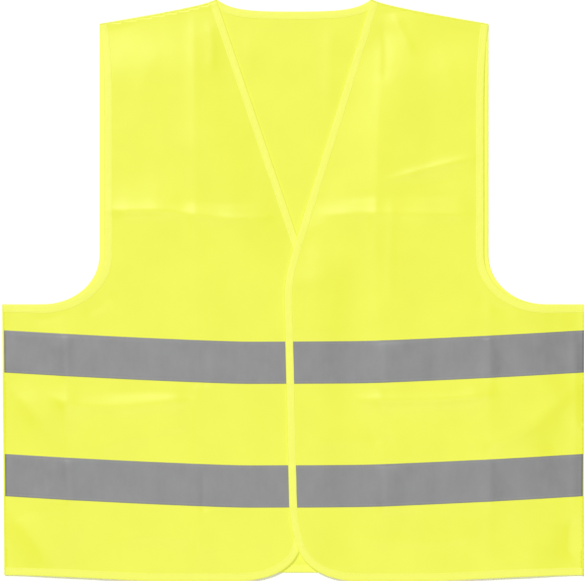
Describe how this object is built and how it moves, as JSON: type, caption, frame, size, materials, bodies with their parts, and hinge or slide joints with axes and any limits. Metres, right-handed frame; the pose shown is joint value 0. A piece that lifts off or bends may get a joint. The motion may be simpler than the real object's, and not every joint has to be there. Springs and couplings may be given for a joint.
{
  "type": "high visibility vest",
  "caption": "Sleeveless knitted safety vest lying flat, with a hook and loop front closure, bound edges and two horizontal reflective tapes round the body.",
  "frame": {"origin": "under the middle of the vest's outline, on the surface it lies on", "axes": "the vest lies on its back: +Z out of its front, +X towards the wearer's left, +Y towards the neck"},
  "size_m": [0.693, 0.689, 0.0128],
  "materials": {
    "knitted_cloth": "fluorescent yellow warp-knitted polyester, matt",
    "reflective_tape": "silver-grey glass-bead retroreflective tape on a woven backing",
    "edge_binding": "fluorescent yellow knitted polyester binding, folded and stitched",
    "hook_tape": "yellow nylon hook tape",
    "loop_tape": "yellow brushed nylon loop tape",
    "label_ribbon": "white satin ribbon, blank",
    "sewing_thread": "yellow spun polyester thread",
    "tape_thread": "grey spun polyester thread"
  },
  "bodies": {
    "vest_body": {"back_panel": "knitted_cloth", "left_front_panel": "knitted_cloth", "right_front_panel": "knitted_cloth", "left_shoulder_seam": "knitted_cloth", "right_shoulder_seam": "knitted_cloth", "left_side_seam": "knitted_cloth", "right_side_seam": "knitted_cloth", "back_upper_tape": "reflective_tape", "back_lower_tape": "reflective_tape", "left_upper_tape": "reflective_tape", "right_upper_tape": "reflective_tape", "left_lower_tape": "reflective_tape", "right_lower_tape": "reflective_tape", "neck_binding": "edge_binding", "left_armhole_binding": "edge_binding", "right_armhole_binding": "edge_binding", "hem_binding": "edge_binding", "care_label": "label_ribbon"},
    "left_flap": {"left_front_flap": "knitted_cloth", "left_flap_upper_tape": "reflective_tape", "left_flap_lower_tape": "reflective_tape", "left_flap_binding": "edge_binding", "hook_patch": "hook_tape"},
    "right_flap": {"right_front_flap": "knitted_cloth", "right_flap_upper_tape": "reflective_tape", "right_flap_lower_tape": "reflective_tape", "right_flap_binding": "edge_binding", "loop_patch": "loop_tape"}
  },
  "joints": [
    {"name": "left_flap_fold", "type": "hinge", "parent": "vest_body", "child": "left_flap", "pos_m": [0.08, 0, 0.0135], "axis": [0, 1, 0], "range_deg": [0, 176]},
    {"name": "right_flap_fold", "type": "hinge", "parent": "vest_body", "child": "right_flap", "pos_m": [-0.06, 0, 0.0135], "axis": [0, -1, 0], "range_deg": [0, 150]}
  ],
  "couplings": [
    {"joint": "right_flap_fold", "follows": "left_flap_fold", "ratio": 0.85}
  ]
}
